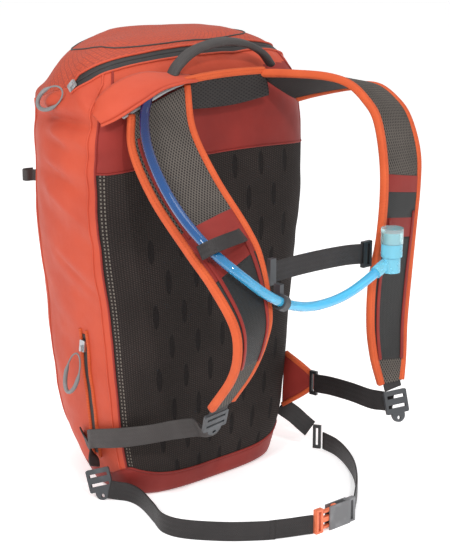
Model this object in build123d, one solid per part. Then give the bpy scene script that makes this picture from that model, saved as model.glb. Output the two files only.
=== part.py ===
from build123d import *
import math
import os

# Small hydration daypack, in millimetres.  +Z is up, the harness faces -Y, and
# the origin is the middle of the base, on the floor.

# ---- driving dimensions -------------------------------------------------
WALL = 3.0                # padded fabric wall of the bag
HINGE_GAP = 0.6           # slit between the lid and the bag
ZIP_TAPE = 8.0            # height of each half of the top zip
BASE_HEIGHT = 22.0        # top of the wrap-round base panel
YOKE_SEAM_Z = 345.0       # seam between the mesh back and the yoke panel
BACK_SEAM_Y = -57.0       # seam between the back and the side panels
FRONT_SEAM_Y = 70.0       # seam between the side and the front panels
BACK_DEPTH = 55.0         # depth of the rounded back half of a section
STRAP_THICK = 8.0         # padded shoulder strap
WEB = 20.0                # webbing width
WEB_THICK = 1.8           # webbing thickness
HOSE_R = 4.75             # drinking hose, outer radius
LID_HINGE_Y = 126.0       # fold line of the lid
LID_HINGE_Z = 389.0
ZIP_SIDE = (-16.0, 426.0)     # y, z where the top zip ends on the side
ZIP_BACK = (-52.0, 456.0)     # y, z where the top zip turns across the back

# Outline of the bag at a few heights: z, half width, y of the back, y of the front
BAG_SECTIONS = [
    (0, 98, -68, 44), (12, 106, -74, 62), (50, 114, -79, 108), (120, 121, -81, 132),
    (200, 128, -82, 135), (280, 139, -82, 134), (340, 143, -80, 122), (400, 141, -74, 121),
    (430, 132, -66, 98), (450, 116, -50, 84), (462, 92, -30, 70), (468, 60, -6, 52),
]
BACK_POWER = 3.4          # superellipse powers of the back and front of a section
FRONT_POWER = 2.6
FACET_ANGLES = [0, 28, 58, 90, 122, 152, 180, 207, 238, 270, 302, 333]
DOME_START = 405          # the wall leans in above this height

# Shoulder straps: inner edge and outer edge of each strap, from yoke to tip
LEFT_STRAP = [
    ((-51, -88, 427), (-116, -77, 402)), ((-59, -106, 386), (-124, -88, 370)),
    ((-66, -146, 346), (-133, -129, 331)), ((-74, -198, 307), (-141, -187, 293)),
    ((-78, -220, 282), (-144, -222, 270)), ((-84, -237, 239), (-143, -250, 240)),
    ((-88, -236, 213), (-139, -252, 213)), ((-92, -224, 181), (-130, -234, 181)),
    ((-95, -201, 147), (-121, -196, 140)),
]
RIGHT_STRAP = [
    ((46, -84, 429), (104, -84, 396)), ((55, -118, 431), (112, -104, 403)),
    ((66, -159, 431), (125, -138, 412)), ((72, -185, 425), (133, -167, 415)),
    ((76, -204, 410), (137, -190, 403)), ((78, -216, 393), (139, -205, 386)),
    ((80, -223, 357), (140, -217, 354)), ((78, -227, 320), (139, -219, 320)),
    ((75, -226, 276), (137, -217, 276)), ((74, -218, 233), (134, -216, 230)),
    ((76, -215, 187), (131, -215, 182)), ((82, -215, 152), (125, -220, 146)),
    ((92, -216, 120), (118, -225, 122)),
]

# Free drinking hose, from the port in the yoke panel to the bite valve elbow
HOSE_ROUTE = [
    (-81.5, -74, 426), (-93, -82, 424), (-104, -88, 415), (-112, -94, 399), (-119.5, -106, 380),
    (-126.5, -126, 361), (-131, -152, 337), (-135, -184, 316), (-133, -214, 297),
    (-120, -240, 277), (-97, -248, 257), (-66, -243, 241), (-33, -241, 232),
    (3, -240, 232), (33, -240, 239), (56, -240, 249),
]
# Hose inside the bag, from the reservoir to the port
INNER_ROUTE = [
    (-36, -54, 92), (-50, -54, 94), (-60, -54, 104), (-64, -54, 120), (-64, -54.5, 180),
    (-62, -54, 240), (-60, -53, 300), (-58, -52, 350), (-55, -53, 385), (-56, -56, 405),
    (-62, -60.3, 418), (-70, -65.8, 423.8), (-79.3, -72.4, 425.6),
]
PORT_POINT = (-73.0, -67.93, 424.38)
PORT_DIR = (-0.805, -0.572, 0.156)

# Hip belt on the floor: the left part, the plug's own tail, and the right part
HIP_LEFT = [(-116, -49), (-111, -58), (-110, -71), (-114, -89), (-124, -116), (-133, -141),
            (-127, -165), (-102, -196), (-77, -217), (-66, -225)]
HIP_TAIL = [(-36, -238), (-27.5, -242)]
HIP_RIGHT = [(29, -243), (50, -226), (76, -204), (104, -174), (124, -144), (137, -116),
             (141, -92)]


# ---- helpers ------------------------------------------------------------
def vec(p):
    return Vector(*p)


def middle(a, b):
    return (vec(a) + vec(b)) * 0.5


def reach(angle, half_width, depth, power):
    """How far a superellipse reaches in the direction of angle."""
    q = power / (power - 1)
    return (abs(half_width * math.cos(angle)) ** q + abs(depth * math.sin(angle)) ** q) ** (1 / q)


def outline(z, half_width, y_back, y_front, inset):
    """Corners of one bag section: a squarish back and a rounder front, as flat facets."""
    back_depth = min(BACK_DEPTH, (y_front - y_back) / 2)
    y_mid = y_back + back_depth
    sides = []
    for degrees in FACET_ANGLES:
        angle = math.radians(degrees)
        front = degrees < 180
        power, depth = (FRONT_POWER, y_front - y_mid) if front else (BACK_POWER, back_depth)
        distance = reach(angle, half_width, depth, power) - inset
        sides.append((math.cos(angle), math.sin(angle), distance))
    corners = []
    for (a, b, p), (c, d, q) in zip(sides, sides[1:] + sides[:1]):
        det = a * d - b * c
        corners.append(((p * d - q * b) / det, (a * q - c * p) / det + y_mid, z))
    return corners


def bag_solid(inset):
    """The bag's outer form, or with an inset the space inside its wall."""
    rings = []
    for z, half_width, y_back, y_front in BAG_SECTIONS:
        level = z - inset if z > DOME_START else max(z, inset)
        rings.append(outline(level, half_width, y_back, y_front, inset))
    faces = [Face(Wire.make_polygon(rings[0])), Face(Wire.make_polygon(rings[-1]))]
    for low, high in zip(rings, rings[1:]):
        for i in range(len(low)):
            j = (i + 1) % len(low)
            faces.append(Face(Wire.make_polygon([low[i], low[j], high[j], high[i]])))
    return Solid(Shell(faces))


def region(x0, x1, y0, y1, z0, z1):
    return Pos((x0 + x1) / 2, (y0 + y1) / 2, (z0 + z1) / 2) * Box(x1 - x0, y1 - y0, z1 - z0)


def above_lid_line(lift):
    """Everything above the slanted line where the lid parts from the bag."""
    run = Polyline((-150, 470 + lift), (ZIP_BACK[0], ZIP_BACK[1] + lift),
                   (ZIP_SIDE[0], ZIP_SIDE[1] + lift), (95, 396 + lift), (160, 380 + lift),
                   (160, 520), (-150, 520), (-150, 470 + lift))
    return Pos(-200, 0, 0) * extrude(Plane.YZ * make_face(run), 400)


def ribbon(edges, thickness):
    """A flat strap through pairs of edge points."""
    centres = [middle(a, b) for a, b in edges]
    faces = []
    for i, (a, b) in enumerate(edges):
        ahead = centres[min(i + 1, len(edges) - 1)] - centres[max(i - 1, 0)]
        across = vec(b) - vec(a)
        plane = Plane(origin=centres[i], x_dir=across, z_dir=ahead)
        faces.append(plane * Rectangle(across.length, thickness))
    return loft(faces, ruled=True)


def webbing(points, across, width=WEB, thickness=WEB_THICK):
    """Webbing through centre points; across is its width direction, or one per point."""
    sides = across if isinstance(across, list) else [across] * len(points)
    edges = []
    for p, side in zip(points, sides):
        half = vec(side).normalized() * (width / 2)
        edges.append((tuple(vec(p) - half), tuple(vec(p) + half)))
    return ribbon(edges, thickness)


def floor_webbing(points):
    """Webbing that stands on its edge on the floor."""
    return webbing([(x, y, WEB / 2) for x, y in points], (0, 0, 1))


def round_radii(route):
    """The largest arc that each corner's two runs allow."""
    radii = []
    for a, b, c in zip(route, route[1:], route[2:]):
        first, second = vec(b) - vec(a), vec(c) - vec(b)
        half_turn = math.radians(first.get_angle(second)) / 2
        radii.append(0.45 * min(first.length, second.length) / math.tan(half_turn))
    return radii


def tube(name, route, radius):
    radii = round_radii(route)
    path = FilletPolyline(*route, radius=radii)
    section = Plane(origin=path @ 0, z_dir=path % 0) * Circle(radius)
    solid = sweep(section, path=path)
    expected = math.pi * radius ** 2 * path.length
    print(name, "length %.1f" % path.length, "volume ratio %.4f" % (solid.volume / expected),
          "radii", [round(r) for r in radii])
    return solid


def cylinder_between(a, b, radius):
    a, b = vec(a), vec(b)
    return extrude(Plane(origin=a, z_dir=b - a) * Circle(radius), (b - a).length)


def ladder_lock(width, length):
    """Tension lock in the XY plane: webbing bar at y = 0, thumb tab at -Y."""
    slot = width - 6.0
    body = Pos(0, -length / 2 + 2.5, 0) * Box(width, length, 3.2)
    body = fillet(body.edges().filter_by(Axis.Z), 2.0)
    tab = Pos(0, -length + 1.0, 0) * extrude(Ellipse(width * 0.28, 7.5), 1.6, both=True)
    body += tab
    for y in (-4.2, -length + 10.0):
        body -= Pos(0, y, 0) * Box(slot, 3.4, 10)
    body -= Pos(0, -length - 2.0, 0) * Cylinder(2.0, 10)
    return body


def pull_loop(length, width):
    """Cord pull in the XY plane: starts at the origin and runs along -Y."""
    ring = extrude(Ellipse(width / 2, length / 2), 1.5, both=True)
    ring -= extrude(Ellipse(width / 2 - 2.6, length / 2 - 2.6), 5, both=True)
    return Pos(0, -length / 2, 0) * ring


def slider_block():
    """Zip slider in the XY plane, its wedge body and the bridge that holds the pull."""
    body = Box(8, 12, 2.2) + Pos(0, -2.5, 2.2) * Box(3, 6, 2.4)
    return fillet(body.edges().filter_by(Axis.Z), 1.2)


# ---- the bag ------------------------------------------------------------
outer = bag_solid(0)
inner = bag_solid(WALL)
bag_side = (outer - above_lid_line(0)) - inner
lid_side = (outer & above_lid_line(HINGE_GAP)) - inner
zip_reach = region(-200, 200, -149, ZIP_SIDE[0] + 2, 300, 515)
lower_band = zip_reach & above_lid_line(-ZIP_TAPE)
upper_band = zip_reach - above_lid_line(ZIP_TAPE)
lower_tape = bag_side & lower_band
upper_tape = lid_side & upper_band
lid_shell = lid_side - upper_band
walls = bag_side - lower_band

base_panel = walls & region(-200, 200, -200, 200, -1, BASE_HEIGHT)
back_mesh = walls & region(-200, 200, -200, BACK_SEAM_Y, BASE_HEIGHT, YOKE_SEAM_Z)
yoke_panel = walls & region(-200, 200, -200, BACK_SEAM_Y, YOKE_SEAM_Z, 520)
front_panel = walls & region(-200, 200, FRONT_SEAM_Y, 200, BASE_HEIGHT, 520)
left_side = walls & region(-200, 0, BACK_SEAM_Y, FRONT_SEAM_Y, BASE_HEIGHT, 520)
right_side = walls & region(0, 200, BACK_SEAM_Y, FRONT_SEAM_Y, BASE_HEIGHT, 520)

port = Plane(origin=PORT_POINT, z_dir=PORT_DIR)
port_hole = Plane(origin=vec(PORT_POINT) - vec(PORT_DIR) * 14, z_dir=PORT_DIR)
yoke_panel -= extrude(port_hole * Circle(HOSE_R + 2.6), 28)
hose_port = extrude(port * Circle(HOSE_R + 2.3), 2.6, both=True)
hose_port -= extrude(port * Circle(HOSE_R + 0.6), 5, both=True)

side_zip_cut = region(-200, -80, -15, -7, 40, 172)
side_zip = left_side & side_zip_cut
left_side = left_side - side_zip_cut

# ---- inside the bag -----------------------------------------------------
back_foam = region(-70, 70, -72, -66.4, 60, 332)
frame_sheet = region(-75, 75, -66.2, -65.0, 36, 332)
SLEEVE_TOP = 312
hydration_sleeve = region(-76, 76, -64.8, -39, 60, SLEEVE_TOP)
hydration_sleeve -= region(-75, 75, -63.8, -40, 61, SLEEVE_TOP + 5)
reservoir = Pos(21, -54, 175) * Box(102, 13, 200)
reservoir = fillet(reservoir.edges().filter_by(Axis.Y), 22)
reservoir = fillet(reservoir.edges().group_by(Axis.Y)[0], 4)
fill_cap = Pos(21, -44.6, 236) * Rot(90, 0, 0) * Cylinder(12, 4.6)
fill_cap -= Pos(21, -41, 236) * Box(18, 3, 3)
reservoir -= Pos(21, -46, 236) * Rot(90, 0, 0) * Cylinder(12.3, 6)
reservoir_port = cylinder_between((-30.3, -54, 92), (-34.9, -54, 92), 6.2)
hanger_tab = region(11, 31, -62.5, -61, 314, 372)
hanger_hook = region(15, 27, -60.8, -57.4, 277, 350) - region(18, 24, -62, -55, 283, 344)

# ---- lid, handle and zips -----------------------------------------------
HANDLE_Y = -82.0
HANDLE_Z = 434.0
arch_outer = ThreePointArc((-60, HANDLE_Z), (4, 462), (70, HANDLE_Z))
arch_inner = ThreePointArc((66, HANDLE_Z), (4, 458), (-56, HANDLE_Z))
arch = Wire([arch_outer, Line((70, HANDLE_Z), (66, HANDLE_Z)), arch_inner,
             Line((-56, HANDLE_Z), (-60, HANDLE_Z))])
haul_loop = Pos(0, HANDLE_Y + 13, 0) * extrude(Plane.XZ * make_face(arch), 13)

TOP_SLIDER = (-136.6, -16, 426)
top_slider_plane = Plane(origin=TOP_SLIDER, x_dir=(0, 0.64, 0.77), z_dir=(-1, 0, 0))
top_slider = top_slider_plane * slider_block()
TOP_PULL = (-141.5, -8, 421)
top_pull_plane = Plane(origin=TOP_PULL, x_dir=(0, -0.47, -0.88), z_dir=(-1, -0.13, 0))
top_pull = top_pull_plane * pull_loop(40, 22)

SIDE_SLIDER = (-128.0, -11, 160)
side_slider_plane = Plane(origin=SIDE_SLIDER, x_dir=(0, -1, 0), z_dir=(-1, 0, 0.09))
side_slider = side_slider_plane * slider_block()
SIDE_PULL = (-131.6, -9, 153)
side_pull_plane = Plane(origin=SIDE_PULL, x_dir=(0, -0.95, -0.3), z_dir=(-1, 0, 0.09))
side_pull = side_pull_plane * pull_loop(48, 24)

gear_loop_plane = Plane(origin=(-109, 99, 315), x_dir=(0.7, 0.7, 0), z_dir=(0, 0, 1))
gear_loop = Cylinder(8, 12) - Cylinder(6.2, 14)
gear_loop = gear_loop_plane * (gear_loop & Pos(0, 10, 0) * Box(40, 20, 14))

# ---- shoulder harness ---------------------------------------------------
left_strap = ribbon(LEFT_STRAP, STRAP_THICK)
right_strap = ribbon(RIGHT_STRAP, STRAP_THICK)
yoke = region(-48, 43, -89, -81, 402, 429)
hose = tube("hose", HOSE_ROUTE, HOSE_R)
inner_hose = tube("inner_hose", INNER_ROUTE, HOSE_R)

keeper = webbing([(-92, -210.5, 307), (-121, -218.5, 307), (-136, -217, 304), (-142, -207, 297)],
                 (0.1, -0.7, -0.7), width=13, thickness=1.2)
sternum_web = webbing([(-67, -226, 270), (-36, -226, 271), (0, -226, 270), (32, -224, 268),
                       (53, -223, 265)], (0, 0, 1))
sternum_plate = Pos(-71.5, -226.5, 271) * Box(7.5, 5, 25)
sternum_adjuster = Pos(60.8, -223, 264) * (Box(12, 4.5, 26) - Pos(1, 0, 0) * Box(3.4, 10, 21))
clip_dir = vec(HOSE_ROUTE[11]) - vec(HOSE_ROUTE[10])
clip_at = vec(HOSE_ROUTE[10]) + clip_dir * 0.7
clip_plane = Plane(origin=clip_at, z_dir=clip_dir)
hose_clip = extrude(clip_plane * Circle(7.6), 4, both=True)
hose_clip -= extrude(clip_plane * Circle(HOSE_R + 0.2), 9, both=True)
hose_clip += Pos(-74.5, -239.5, 257.5) * Box(5, 8, 10)
elbow_start = vec(HOSE_ROUTE[-1])
elbow_dir = (elbow_start - vec(HOSE_ROUTE[-2])).normalized()
VALVE_X, VALVE_Y = 76.0, -242.5
valve_elbow = cylinder_between(elbow_start, elbow_start + elbow_dir * 16, 6.1)
valve_elbow += Pos(VALVE_X, VALVE_Y, 254.5) * Cylinder(8.8, 15)
bite_valve = Pos(VALVE_X, VALVE_Y, 269.2) * Cylinder(10.5, 13)
mouthpiece = Pos(VALVE_X, VALVE_Y, 281.3) * Cylinder(7.8, 11)
valve_cover = Pos(VALVE_X, VALVE_Y, 283.6) * (Cylinder(11, 15) - Pos(0, 0, -2.5) * Cylinder(9, 12))

left_tip_web = webbing([(-107.5, -194.5, 138), (-106.6, -191, 133.8)], (-0.95, 0.2, -0.2))
LEFT_LOCK = (-105.5, -188.0, 129.5)
left_lock_plane = Plane(origin=LEFT_LOCK, x_dir=(-0.95, 0.2, -0.2), z_dir=(0.07, 0.84, 0.5))
left_lock = left_lock_plane * ladder_lock(26, 24)
right_tip_web = webbing([(105.2, -222.5, 118.5), (105.8, -223.4, 115.0)], (0.95, -0.3, 0.05))
RIGHT_LOCK = (106.5, -225.0, 110.0)
right_lock_plane = Plane(origin=RIGHT_LOCK, x_dir=(0.95, -0.3, 0.05), z_dir=(-0.29, -0.87, 0.27))
right_lock = right_lock_plane * ladder_lock(26, 24)

# ---- lower webbing, wing and hip belt -----------------------------------
left_lower_web = webbing([(-125, -22, 62), (-122, -60, 73), (-106, -84, 79), (-86, -102, 84),
                          (-80, -126, 92), (-87, -146, 98)],
                         [(0, -0.3, 1), (0.2, 0.1, 1), (0, 0, 1), (0, 0, 1), (-0.2, 0.1, 1),
                          (-0.5, 0.2, 0.9)])
wing_points = [(114, -62), (121, -90), (126, -89), (120, -60)]
right_wing = Pos(0, 0, 46) * extrude(make_face(Polyline(*wing_points, wing_points[0])), 66)
wing_keep = Polyline((-62, 112), (-92, 92), (-92, 74), (-56, 46), (-56, 112), (-62, 112))
right_wing = right_wing & Pos(90, 0, 0) * extrude(Plane.YZ * make_face(wing_keep), 60)
wing_glide = Pos(120.5, -96, 84) * Rot(0, 0, 8) * (Box(3.4, 9, 27) - Box(10, 3.0, 21))
right_lower_web = webbing([(119, -103, 86), (110, -132, 92), (100, -170, 98), (98, -200, 98)],
                          (0.1, 0, 1))

hip_tab = webbing([(-119.5, 0, 55), (-121.5, -14, 44), (-125, -22, 34)], (-0.1, 0.5, 0.85),
                  width=14)
HIP_LOCK = (-126.0, -28.0, 28.5)
hip_lock_plane = Plane(origin=HIP_LOCK, x_dir=(0.53, -0.79, 0.30), z_dir=(-0.85, -0.5, 0.19))
hip_lock = hip_lock_plane * ladder_lock(26, 24)
hip_left_web = floor_webbing(HIP_LEFT)
hip_tail_web = floor_webbing(HIP_TAIL)
hip_right_web = floor_webbing(HIP_RIGHT)
hip_anchor_web = webbing([(114.5, -58, 45), (122, -66, 38), (128, -72, 30), (134.5, -78, 22)],
                         (0.45, 0.2, 0.87))
hip_glide = Pos(138.6, -85, 13.5) * Rot(0, 0, 30) * (Box(3.4, 9, 27) - Box(10, 3.0, 21))

BUCKLE_Z = 12.5
BUCKLE_LEFT = (-26.0, -243.5, BUCKLE_Z)
buckle = Plane(origin=BUCKLE_LEFT, x_dir=(1, -0.02, 0), z_dir=(-0.02, -1, 0))
plug = Pos(4.5, 0, 0) * (Box(9, 25, 5) - Box(3.4, 20.5, 8))
plug += Pos(20, 0, 0) * Box(24, 5, 4)
prong_upper = Pos(17, 8.2, 0) * Box(14, 2.4, 4) + Pos(25.5, 9.4, 0) * Box(5, 5, 4)
prong_lower = mirror(prong_upper, Plane.XZ)
socket = Pos(31, 0, 0) * Box(28, 25, 8) - Pos(27.5, 0, 0) * Box(25, 30, 5)
socket += Pos(49, 0, 0) * (Box(9, 25, 5) - Box(3.4, 20.5, 8))
hip_plug = buckle * plug
plug_prong_upper = buckle * prong_upper
plug_prong_lower = buckle * prong_lower
hip_socket = buckle * socket

# ---- write one file per piece -------------------------------------------
NODES = {
    "base_panel": base_panel, "back_mesh_panel": back_mesh, "yoke_panel": yoke_panel,
    "front_panel": front_panel, "left_side_panel": left_side, "right_side_panel": right_side,
    "top_zip_lower_tape": lower_tape, "top_zip_upper_tape": upper_tape, "lid_shell": lid_shell,
    "side_zip_tape": side_zip, "hose_port": hose_port,
    "back_foam": back_foam, "frame_sheet": frame_sheet, "hydration_sleeve": hydration_sleeve,
    "reservoir": reservoir, "reservoir_fill_cap": fill_cap, "reservoir_port": reservoir_port,
    "reservoir_hanger_tab": hanger_tab, "reservoir_hanger_hook": hanger_hook,
    "inner_hose": inner_hose, "haul_loop": haul_loop,
    "top_zip_slider": top_slider, "top_zip_pull": top_pull,
    "side_zip_slider": side_slider, "side_zip_pull": side_pull, "gear_loop": gear_loop,
    "left_shoulder_strap": left_strap, "right_shoulder_strap": right_strap,
    "shoulder_yoke": yoke, "drinking_hose": hose, "hose_keeper": keeper,
    "sternum_webbing": sternum_web, "sternum_plate": sternum_plate,
    "sternum_adjuster": sternum_adjuster, "hose_clip": hose_clip,
    "valve_elbow": valve_elbow, "bite_valve": bite_valve, "valve_mouthpiece": mouthpiece,
    "valve_cover": valve_cover, "left_tip_webbing": left_tip_web, "left_strap_lock": left_lock,
    "right_tip_webbing": right_tip_web, "right_strap_lock": right_lock,
    "left_lower_webbing": left_lower_web, "right_wing": right_wing,
    "right_wing_glide": wing_glide, "right_lower_webbing": right_lower_web,
    "hip_tab": hip_tab, "hip_lock": hip_lock, "hip_left_webbing": hip_left_web,
    "hip_plug_tail": hip_tail_web, "hip_right_webbing": hip_right_web,
    "hip_anchor_webbing": hip_anchor_web, "hip_right_glide": hip_glide,
    "hip_buckle_plug": hip_plug, "plug_prong_upper": plug_prong_upper,
    "plug_prong_lower": plug_prong_lower, "hip_buckle_socket": hip_socket,
}

os.makedirs("parts", exist_ok=True)
for name, shape in NODES.items():
    export_step(shape, "parts/" + name + ".step")
print(len(NODES), "nodes")
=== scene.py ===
"""Looks of the hydration daypack: soft parts, materials, floor, light and camera.

Lengths in this file are millimetres; pieces are made in metres at the origin, in the frame
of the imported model.
"""
import math

import bpy
import numpy as np
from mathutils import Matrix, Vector, noise


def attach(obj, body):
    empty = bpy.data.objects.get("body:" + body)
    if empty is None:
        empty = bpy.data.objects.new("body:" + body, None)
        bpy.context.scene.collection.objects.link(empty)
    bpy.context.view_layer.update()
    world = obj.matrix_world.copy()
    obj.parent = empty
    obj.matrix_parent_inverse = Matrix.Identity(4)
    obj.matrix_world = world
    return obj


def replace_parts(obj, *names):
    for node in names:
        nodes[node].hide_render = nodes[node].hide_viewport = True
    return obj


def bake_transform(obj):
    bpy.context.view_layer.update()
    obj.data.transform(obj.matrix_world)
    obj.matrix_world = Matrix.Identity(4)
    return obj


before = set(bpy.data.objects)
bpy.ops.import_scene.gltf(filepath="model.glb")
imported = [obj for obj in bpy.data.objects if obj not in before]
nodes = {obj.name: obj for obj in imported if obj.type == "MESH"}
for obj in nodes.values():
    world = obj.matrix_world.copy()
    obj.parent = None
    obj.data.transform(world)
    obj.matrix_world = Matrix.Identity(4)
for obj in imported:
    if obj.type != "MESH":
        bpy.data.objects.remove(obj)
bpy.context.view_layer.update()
MM = 0.001

# ---- shared dimensions, the same as in the CAD source --------------------------------------
# z, half width, y of the back, y of the front; the first and last rows close the form
BAG_SECTIONS = [
    (0, 0.1, -12.1, -11.9), (0, 60, -40, 18), (0, 97, -67, 43), (12, 106, -73, 62),
    (50, 114, -78, 108),
    (120, 121, -80, 131), (200, 128, -81, 134), (280, 139, -81, 133), (340, 143, -79, 121),
    (400, 141, -73, 120), (430, 132, -65, 97), (450, 116, -49, 83), (461, 92, -29, 69),
    (466.5, 60, -6, 51), (468, 0.1, 22.4, 22.6),
]
BACK_POWER, FRONT_POWER, BACK_DEPTH = 3.4, 2.4, 55.0
BASE_HEIGHT, YOKE_SEAM_Z, SHOULDER_Z, YOKE_CLOTH_TOP = 22.0, 345.0, 428.0, 431.0
BACK_SEAM_Y, FRONT_SEAM_Y = -52.0, 70.0
LID_LINE = [(-150, 470), (-52, 456), (-16, 426), (95, 396), (160, 380)]   # y, z
ZIP_TAPE, ZIP_END_Y = 8.0, -14.0
SIDE_ZIP = dict(y=-11.0, half=4.0, low=40.0, high=172.0)
HOSE_RADIUS = 4.75
WELD_GAP = 0.2

LEFT_STRAP = [
    ((-51, -88, 427), (-116, -77, 402)), ((-59, -106, 386), (-124, -88, 370)),
    ((-66, -146, 346), (-133, -129, 331)), ((-74, -198, 307), (-141, -187, 293)),
    ((-78, -220, 282), (-144, -222, 270)), ((-84, -237, 239), (-143, -250, 240)),
    ((-88, -236, 213), (-139, -252, 213)), ((-92, -224, 181), (-130, -234, 181)),
    ((-95, -201, 147), (-121, -196, 140)),
]
RIGHT_STRAP = [
    ((46, -84, 429), (104, -84, 396)), ((55, -118, 431), (112, -104, 403)),
    ((66, -159, 431), (125, -138, 412)), ((72, -185, 425), (133, -167, 415)),
    ((76, -204, 410), (137, -190, 403)), ((78, -216, 393), (139, -205, 386)),
    ((80, -223, 357), (140, -217, 354)), ((78, -227, 320), (139, -219, 320)),
    ((75, -226, 276), (137, -217, 276)), ((74, -218, 233), (134, -216, 230)),
    ((76, -215, 187), (131, -215, 182)), ((82, -215, 152), (125, -220, 146)),
    ((92, -216, 120), (118, -225, 122)),
]
HOSE_ROUTE = [
    (-81.5, -74, 426), (-93, -82, 424), (-104, -88, 415), (-112, -94, 399), (-119.5, -106, 380),
    (-126.5, -126, 361), (-131, -152, 337), (-135, -184, 316), (-133, -214, 297),
    (-120, -240, 277), (-97, -248, 257), (-66, -243, 241), (-33, -241, 232),
    (3, -240, 232), (33, -240, 239), (56, -240, 249),
]
HIP_LEFT = [(-116, -49), (-111, -58), (-110, -71), (-114, -89), (-124, -116), (-133, -141),
            (-127, -165), (-102, -196), (-77, -217), (-66, -225)]
HIP_TAIL = [(-68, -223), (-50, -232), (-36, -238), (-27.5, -242)]
HIP_RIGHT = [(29, -243), (50, -226), (76, -204), (104, -174), (124, -144), (137, -116),
             (141, -92)]

# Linear colours
RUST = (0.52, 0.072, 0.032)
RUST_DARK = (0.44, 0.056, 0.026)
BRICK = (0.27, 0.022, 0.015)
BINDING = (0.58, 0.095, 0.028)
CHARCOAL = (0.036, 0.026, 0.024)
SPACER = (0.105, 0.090, 0.078)
WEBBING_GREY = (0.036, 0.031, 0.030)
WEBBING_BLACK = (0.014, 0.012, 0.012)
GREY_PLASTIC = (0.13, 0.13, 0.135)
BLACK_PLASTIC = (0.012, 0.012, 0.013)
SLATE_PLASTIC = (0.042, 0.045, 0.050)


# ---- curves and grids ----------------------------------------------------------------------
def smooth(rows, steps=12):
    """Smooth curve through rows of numbers, with a few points in each span."""
    rows = np.array(rows, float)
    padded = np.vstack([2 * rows[0] - rows[1], rows, 2 * rows[-1] - rows[-2]])
    curve = []
    for i in range(len(rows) - 1):
        a, b, c, d = padded[i:i + 4]
        for t in np.arange(steps) / steps:
            curve.append(0.5 * (2 * b + (c - a) * t + (2 * a - 5 * b + 4 * c - d) * t * t
                                + (3 * b - a - 3 * c + d) * t ** 3))
    curve.append(rows[-1])
    return np.array(curve)


def even(curve, count):
    """The same curve as count evenly spaced points."""
    steps = np.linalg.norm(np.diff(curve[:, :3], axis=0), axis=1)
    along = np.concatenate([[0], np.cumsum(steps)])
    want = np.linspace(0, along[-1], count)
    return np.column_stack([np.interp(want, along, curve[:, k]) for k in range(curve.shape[1])])


def unit(v):
    return v / np.maximum(np.linalg.norm(v, axis=-1, keepdims=True), 1e-9)


def normals_of(grid, toward=None):
    """Surface normals of a grid of points, facing away from the point toward."""
    n = unit(np.cross(np.gradient(grid, axis=0), np.gradient(grid, axis=1)))
    if toward is not None and np.sum(n * (grid - np.array(toward))) < 0:
        n = -n
    return n


def make_piece(name, body, material, verts, faces, uvs=None):
    """A mesh piece from points in millimetres; with no body it is left unattached."""
    mesh = bpy.data.meshes.new(name)
    mesh.from_pydata([tuple(v * MM) for v in np.asarray(verts, float)], [], faces)
    if uvs is not None:
        layer = mesh.uv_layers.new(name="flat")
        order = [v for face in faces for v in face]
        layer.data.foreach_set("uv", np.asarray(uvs, float)[order].ravel())
    mesh.shade_smooth()
    mesh.materials.append(material)
    piece = bpy.data.objects.new(name, mesh)
    bpy.context.scene.collection.objects.link(piece)
    if body:
        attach(piece, body)
    return piece


def grid_piece(name, body, material, grid, wrap=False, thick=0.0, outward=None):
    """A cloth surface from a grid of points; its UVs are distances in metres."""
    rows, columns = grid.shape[:2]
    if outward is not None:
        n = unit(np.cross(np.gradient(grid, axis=0), np.gradient(grid, axis=1)))
        if np.sum(n * (grid - np.array(outward))) > 0:
            grid = grid[::-1]
    u = np.concatenate([[0], np.cumsum(np.linalg.norm(np.diff(grid, axis=1), axis=2).mean(0))])
    v = np.concatenate([[0], np.cumsum(np.linalg.norm(np.diff(grid, axis=0), axis=2).mean(1))])
    u -= u[-1] / 2
    faces = []
    for i in range(rows - 1):
        for j in range(columns - 1):
            k = i * columns + j
            faces.append((k, k + 1, k + columns + 1, k + columns))
    uvs = np.stack(np.meshgrid(u, v), axis=-1).reshape(-1, 2) * MM
    piece = make_piece(name, body, material, grid.reshape(-1, 3), faces, uvs)
    if wrap:
        weld = piece.modifiers.new("close", "WELD")
        weld.merge_threshold = WELD_GAP * MM
    if thick:
        wall = piece.modifiers.new("wall", "SOLIDIFY")
        wall.thickness = thick * MM
        wall.offset = -1.0
    return piece


def tube_piece(name, body, material, curve, across, half_width, half_thick, sides=12,
               square=2.0):
    """A closed rope, binding or webbing: a rounded section carried along a curve.

    across holds one vector for each point of the curve: the direction of the section's width.
    """
    along = unit(np.gradient(curve, axis=0))
    side = unit(across - along * np.sum(across * along, axis=1, keepdims=True))
    up = np.cross(side, along)
    angles = np.arange(sides) * 2 * math.pi / sides
    c, s = np.cos(angles), np.sin(angles)
    wide = np.sign(c) * np.abs(c) ** (2 / square)
    tall = np.sign(s) * np.abs(s) ** (2 / square)
    half_width = np.broadcast_to(half_width, len(curve))[:, None, None]
    half_thick = np.broadcast_to(half_thick, len(curve))[:, None, None]
    rings = (curve[:, None] + side[:, None] * wide[None, :, None] * half_width
             + up[:, None] * tall[None, :, None] * half_thick)
    count = len(curve)
    faces = []
    for i in range(count - 1):
        for j in range(sides):
            k = (j + 1) % sides
            faces.append((i * sides + j, i * sides + k, (i + 1) * sides + k, (i + 1) * sides + j))
    faces.append(tuple(range(sides))[::-1])
    faces.append(tuple((count - 1) * sides + j for j in range(sides)))
    run = np.concatenate([[0], np.cumsum(np.linalg.norm(np.diff(curve, axis=0), axis=1))])
    uvs = np.zeros((count, sides, 2))
    uvs[..., 0] = (wide * half_width[:, :, 0])
    uvs[..., 1] = run[:, None]
    return make_piece(name, body, material, rings.reshape(-1, 3), faces,
                      uvs.reshape(-1, 2) * MM)


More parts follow.
